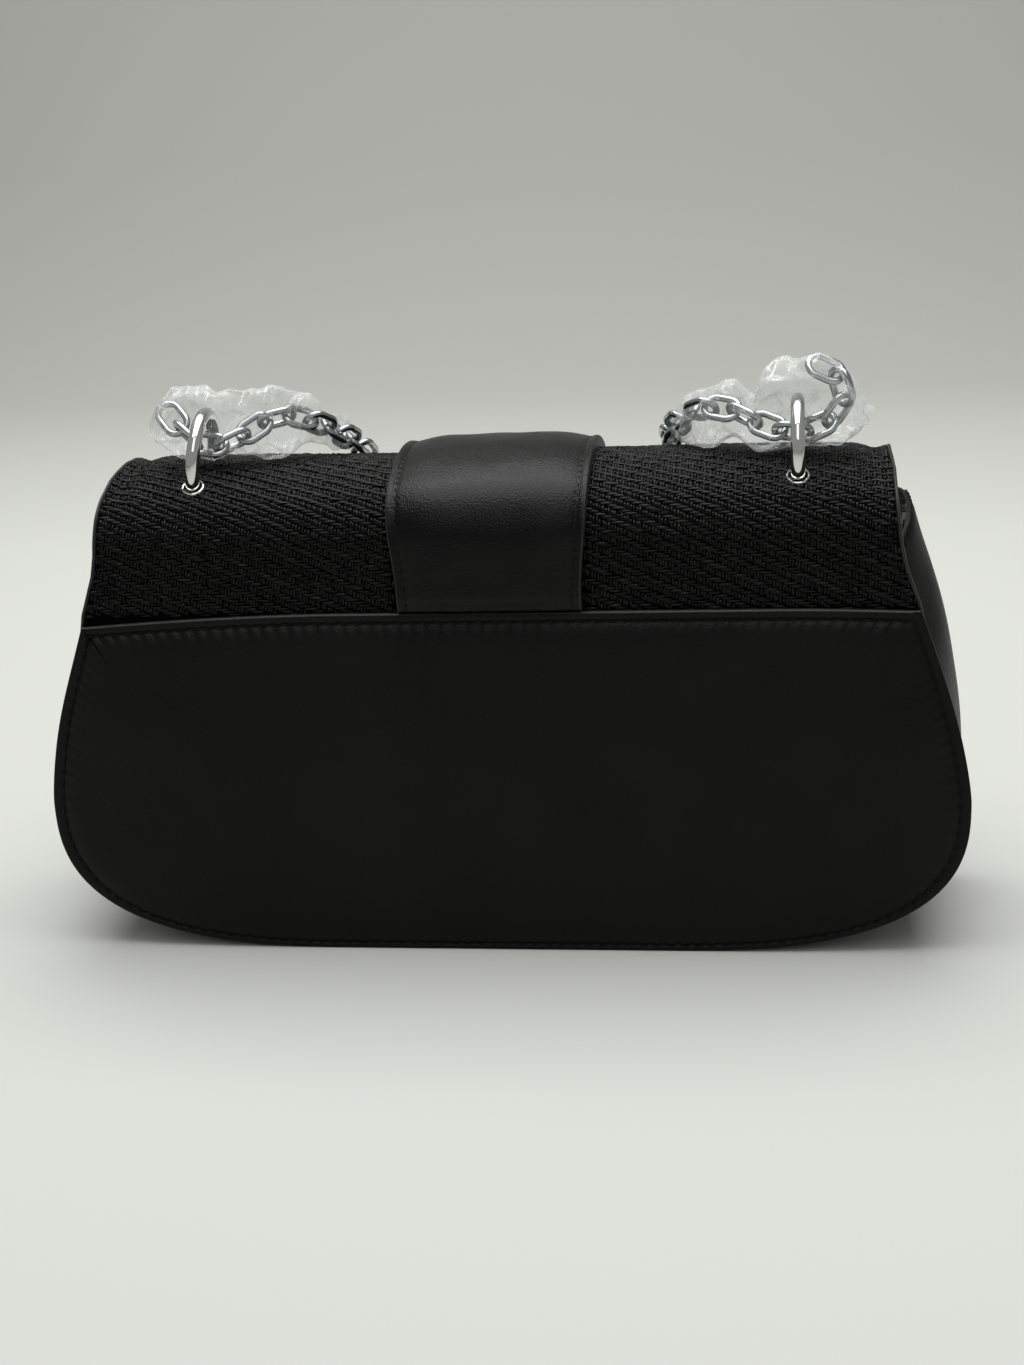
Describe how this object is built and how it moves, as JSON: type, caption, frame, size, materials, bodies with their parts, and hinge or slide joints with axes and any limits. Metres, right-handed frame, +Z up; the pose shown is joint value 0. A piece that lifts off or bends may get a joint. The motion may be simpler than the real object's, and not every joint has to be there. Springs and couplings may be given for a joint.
{
  "type": "chain shoulder bag",
  "caption": "Padded shoulder bag with rounded bottom corners, a woven fold-over flap, a padded centre strap, two rings and a metal chain.",
  "frame": {"origin": "bottom centre of the bag's box, on the surface that it stands on", "axes": "+Z up, +X along the bag's width, +Y towards the flap's hanging front; the pictured back wall faces -Y"},
  "size_m": [0.262, 0.0803, 0.1666],
  "materials": {
    "leather": "fine pebbled black synthetic leather, semi-matt, grey painted edges",
    "weave": "black raffia-like twill weave with a low sheen",
    "lining": "plain woven black polyester",
    "foam": "soft charcoal foam sheet",
    "board": "grey pressed fibre board",
    "magnet": "plain zinc-plated disc",
    "plated": "polished nickel plate",
    "chain": "grey-silver plated links",
    "film": "thin clear crinkled packing film"
  },
  "bodies": {
    "root": {"back_panel": "leather", "back_foam": "foam", "back_board": "board", "back_lining": "lining", "front_panel": "leather", "front_foam": "foam", "front_board": "board", "front_lining": "lining", "gusset": "leather", "gusset_lining": "lining", "base_board": "board", "flap_rear": "weave", "flap_lining_rear": "lining", "strap_rear": "leather", "magnet_body": "magnet"},
    "flap_top": {"flap_top": "weave", "flap_lining_top": "lining", "strap_top": "leather", "eyelets_left": "plated", "eyelets_right": "plated", "washers_left": "plated", "washers_right": "plated"},
    "flap_front": {"flap_front": "weave", "flap_lining_front": "lining", "strap_front": "leather", "magnet_flap": "magnet"},
    "ring_left": {"ring_left": "plated"},
    "ring_right": {"ring_right": "plated"},
    "chain": {"chain_left": "chain", "chain_run": "chain", "chain_right": "chain", "sleeve_left": "film", "sleeve_right": "film"}
  },
  "joints": [
    {"name": "flap_lift", "type": "hinge", "parent": "root", "child": "flap_top", "pos_m": [0, -0.04001, 0.1085], "axis": [1, 0, 0], "range_deg": [0, 110]},
    {"name": "flap_front_fold", "type": "hinge", "parent": "flap_top", "child": "flap_front", "pos_m": [0, 0.03319, 0.0865], "axis": [1, 0, 0], "range_deg": [0, 85]},
    {"name": "ring_left_turn", "type": "hinge", "parent": "flap_top", "child": "ring_left", "pos_m": [-0.0838, -0.01417, 0.141], "axis": [0.9925, 0.0207, -0.1201], "continuous": true},
    {"name": "ring_right_turn", "type": "hinge", "parent": "flap_top", "child": "ring_right", "pos_m": [0.08435, -0.01417, 0.14103], "axis": [1, 0, 0], "continuous": true},
    {"name": "chain_swing", "type": "hinge", "parent": "flap_top", "child": "chain", "pos_m": [0, -0.01417, 0.14103], "axis": [1, 0, 0], "range_deg": [0, 95]}
  ]
}
